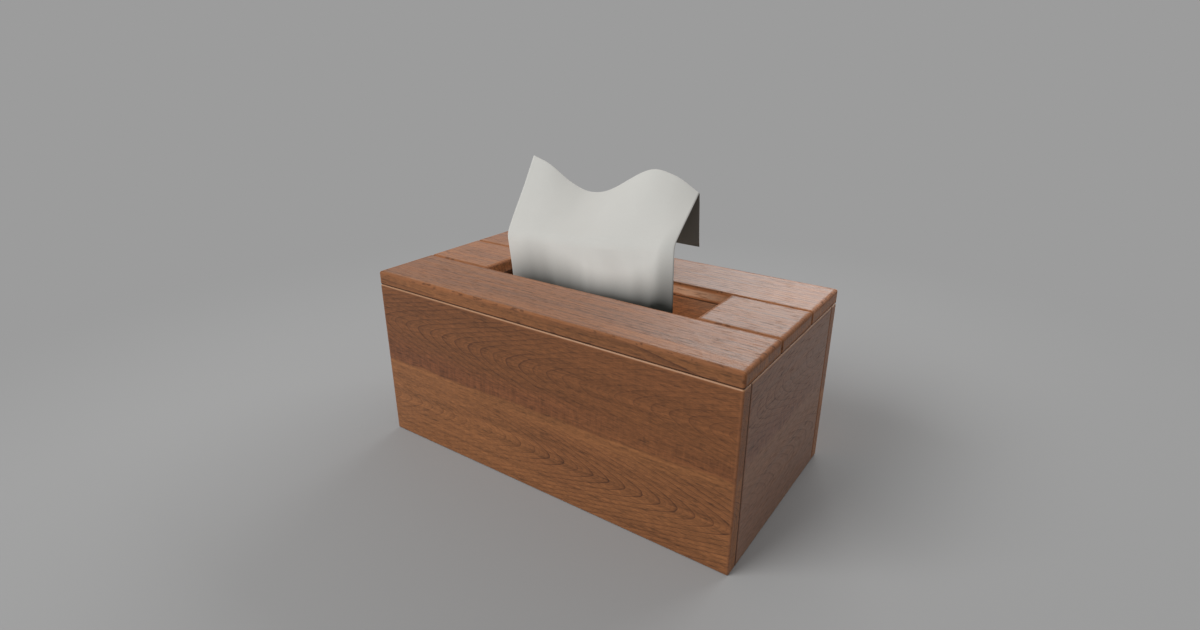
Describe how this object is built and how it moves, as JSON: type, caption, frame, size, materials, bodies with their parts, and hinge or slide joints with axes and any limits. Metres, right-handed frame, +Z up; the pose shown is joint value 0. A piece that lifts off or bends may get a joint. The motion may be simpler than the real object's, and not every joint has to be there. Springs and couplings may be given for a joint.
{
  "type": "tissue box",
  "caption": "Rectangular wooden tissue box with a slatted lift-off lid, a central slot and a pulled-up tissue standing in it.",
  "frame": {"origin": "middle of the box's footprint, on the surface that it stands on", "axes": "+X along the box's length towards its right end, +Y from its front to its back, +Z up"},
  "size_m": [0.262, 0.14, 0.192],
  "materials": {
    "wall_wood": "oiled reddish brown hardwood, satin",
    "lid_wood": "oiled reddish brown hardwood, satin",
    "panel_wood": "plain unfinished panel, matt",
    "dowel_wood": "plain beech, matt",
    "cleat_wood": "sanded hardwood, matt",
    "screw_steel": "zinc plated, satin",
    "tissue": "soft two-ply paper, matt white"
  },
  "bodies": {
    "root": {"front_board": "wall_wood", "back_board": "wall_wood", "left_end_board": "wall_wood", "right_end_board": "wall_wood", "base_panel": "panel_wood", "corner_dowels": "dowel_wood", "lid_front_slat": "lid_wood", "lid_back_slat": "lid_wood", "lid_left_block": "lid_wood", "lid_right_block": "lid_wood", "lid_left_cleat": "cleat_wood", "lid_right_cleat": "cleat_wood", "lid_screws": "screw_steel", "tissue_pack": "tissue", "pulled_tissue": "tissue"}
  },
  "joints": []
}
